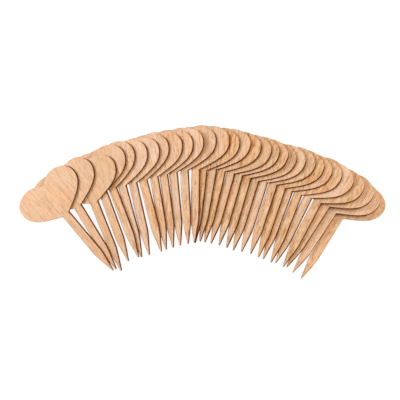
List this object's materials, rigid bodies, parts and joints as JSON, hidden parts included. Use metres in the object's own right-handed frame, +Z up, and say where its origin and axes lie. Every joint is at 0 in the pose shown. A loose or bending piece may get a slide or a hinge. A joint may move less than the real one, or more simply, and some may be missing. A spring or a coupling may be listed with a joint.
{
  "type": "plant label stake set",
  "caption": "Fanned set of thin plain wooden plant label stakes, each a heart-shaped writing head on a pointed stick, lying overlapped on a table.",
  "frame": {"origin": "centre of the fan's box in plan, on the table that the labels lie on", "axes": "+X along the fan to the lowest label, +Y from the points towards the heads, +Z up"},
  "size_m": [0.3162, 0.1328, 0.0209],
  "materials": {
    "wood": "matte, bare, laser-cut edges"
  },
  "bodies": {
    "label_01": {"label_01": "wood"},
    "label_02": {"label_02": "wood"},
    "label_03": {"label_03": "wood"},
    "label_04": {"label_04": "wood"},
    "label_05": {"label_05": "wood"},
    "label_06": {"label_06": "wood"},
    "label_07": {"label_07": "wood"},
    "label_08": {"label_08": "wood"},
    "label_09": {"label_09": "wood"},
    "label_10": {"label_10": "wood"},
    "label_11": {"label_11": "wood"},
    "label_12": {"label_12": "wood"},
    "label_13": {"label_13": "wood"},
    "label_14": {"label_14": "wood"},
    "label_15": {"label_15": "wood"},
    "label_16": {"label_16": "wood"},
    "label_17": {"label_17": "wood"},
    "label_18": {"label_18": "wood"},
    "label_19": {"label_19": "wood"},
    "label_20": {"label_20": "wood"},
    "label_21": {"label_21": "wood"},
    "label_22": {"label_22": "wood"},
    "label_23": {"label_23": "wood"},
    "label_24": {"label_24": "wood"},
    "label_25": {"label_25": "wood"},
    "label_26": {"label_26": "wood"},
    "label_27": {"label_27": "wood"},
    "label_28": {"label_28": "wood"},
    "label_29": {"label_29": "wood"},
    "label_30": {"label_30": "wood"}
  },
  "joints": [
    {"name": "lift_29", "type": "slide", "parent": "label_30", "child": "label_29", "axis": [0, 0, 1], "range_m": [0, 0.025]},
    {"name": "lift_28", "type": "slide", "parent": "label_29", "child": "label_28", "axis": [0, 0, 1], "range_m": [0, 0.025]},
    {"name": "lift_27", "type": "slide", "parent": "label_28", "child": "label_27", "axis": [0, 0, 1], "range_m": [0, 0.025]},
    {"name": "lift_26", "type": "slide", "parent": "label_27", "child": "label_26", "axis": [0, 0, 1], "range_m": [0, 0.025]},
    {"name": "lift_25", "type": "slide", "parent": "label_26", "child": "label_25", "axis": [0, 0, 1], "range_m": [0, 0.025]},
    {"name": "lift_24", "type": "slide", "parent": "label_25", "child": "label_24", "axis": [0, 0, 1], "range_m": [0, 0.025]},
    {"name": "lift_23", "type": "slide", "parent": "label_24", "child": "label_23", "axis": [0, 0, 1], "range_m": [0, 0.025]},
    {"name": "lift_22", "type": "slide", "parent": "label_23", "child": "label_22", "axis": [0, 0, 1], "range_m": [0, 0.025]},
    {"name": "lift_21", "type": "slide", "parent": "label_22", "child": "label_21", "axis": [0, 0, 1], "range_m": [0, 0.025]},
    {"name": "lift_20", "type": "slide", "parent": "label_21", "child": "label_20", "axis": [0, 0, 1], "range_m": [0, 0.025]},
    {"name": "lift_19", "type": "slide", "parent": "label_20", "child": "label_19", "axis": [0, 0, 1], "range_m": [0, 0.025]},
    {"name": "lift_18", "type": "slide", "parent": "label_19", "child": "label_18", "axis": [0, 0, 1], "range_m": [0, 0.025]},
    {"name": "lift_17", "type": "slide", "parent": "label_18", "child": "label_17", "axis": [0, 0, 1], "range_m": [0, 0.025]},
    {"name": "lift_16", "type": "slide", "parent": "label_17", "child": "label_16", "axis": [0, 0, 1], "range_m": [0, 0.025]},
    {"name": "lift_15", "type": "slide", "parent": "label_16", "child": "label_15", "axis": [0, 0, 1], "range_m": [0, 0.025]},
    {"name": "lift_14", "type": "slide", "parent": "label_15", "child": "label_14", "axis": [0, 0, 1], "range_m": [0, 0.025]},
    {"name": "lift_13", "type": "slide", "parent": "label_14", "child": "label_13", "axis": [0, 0, 1], "range_m": [0, 0.025]},
    {"name": "lift_12", "type": "slide", "parent": "label_13", "child": "label_12", "axis": [0, 0, 1], "range_m": [0, 0.025]},
    {"name": "lift_11", "type": "slide", "parent": "label_12", "child": "label_11", "axis": [0, 0, 1], "range_m": [0, 0.025]},
    {"name": "lift_10", "type": "slide", "parent": "label_11", "child": "label_10", "axis": [0, 0, 1], "range_m": [0, 0.025]},
    {"name": "lift_09", "type": "slide", "parent": "label_10", "child": "label_09", "axis": [0, 0, 1], "range_m": [0, 0.025]},
    {"name": "lift_08", "type": "slide", "parent": "label_09", "child": "label_08", "axis": [0, 0, 1], "range_m": [0, 0.025]},
    {"name": "lift_07", "type": "slide", "parent": "label_08", "child": "label_07", "axis": [0, 0, 1], "range_m": [0, 0.025]},
    {"name": "lift_06", "type": "slide", "parent": "label_07", "child": "label_06", "axis": [0, 0, 1], "range_m": [0, 0.025]},
    {"name": "lift_05", "type": "slide", "parent": "label_06", "child": "label_05", "axis": [0, 0, 1], "range_m": [0, 0.025]},
    {"name": "lift_04", "type": "slide", "parent": "label_05", "child": "label_04", "axis": [0, 0, 1], "range_m": [0, 0.025]},
    {"name": "lift_03", "type": "slide", "parent": "label_04", "child": "label_03", "axis": [0, 0, 1], "range_m": [0, 0.025]},
    {"name": "lift_02", "type": "slide", "parent": "label_03", "child": "label_02", "axis": [0, 0, 1], "range_m": [0, 0.025]},
    {"name": "lift_01", "type": "slide", "parent": "label_02", "child": "label_01", "axis": [0, 0, 1], "range_m": [0, 0.025]}
  ]
}
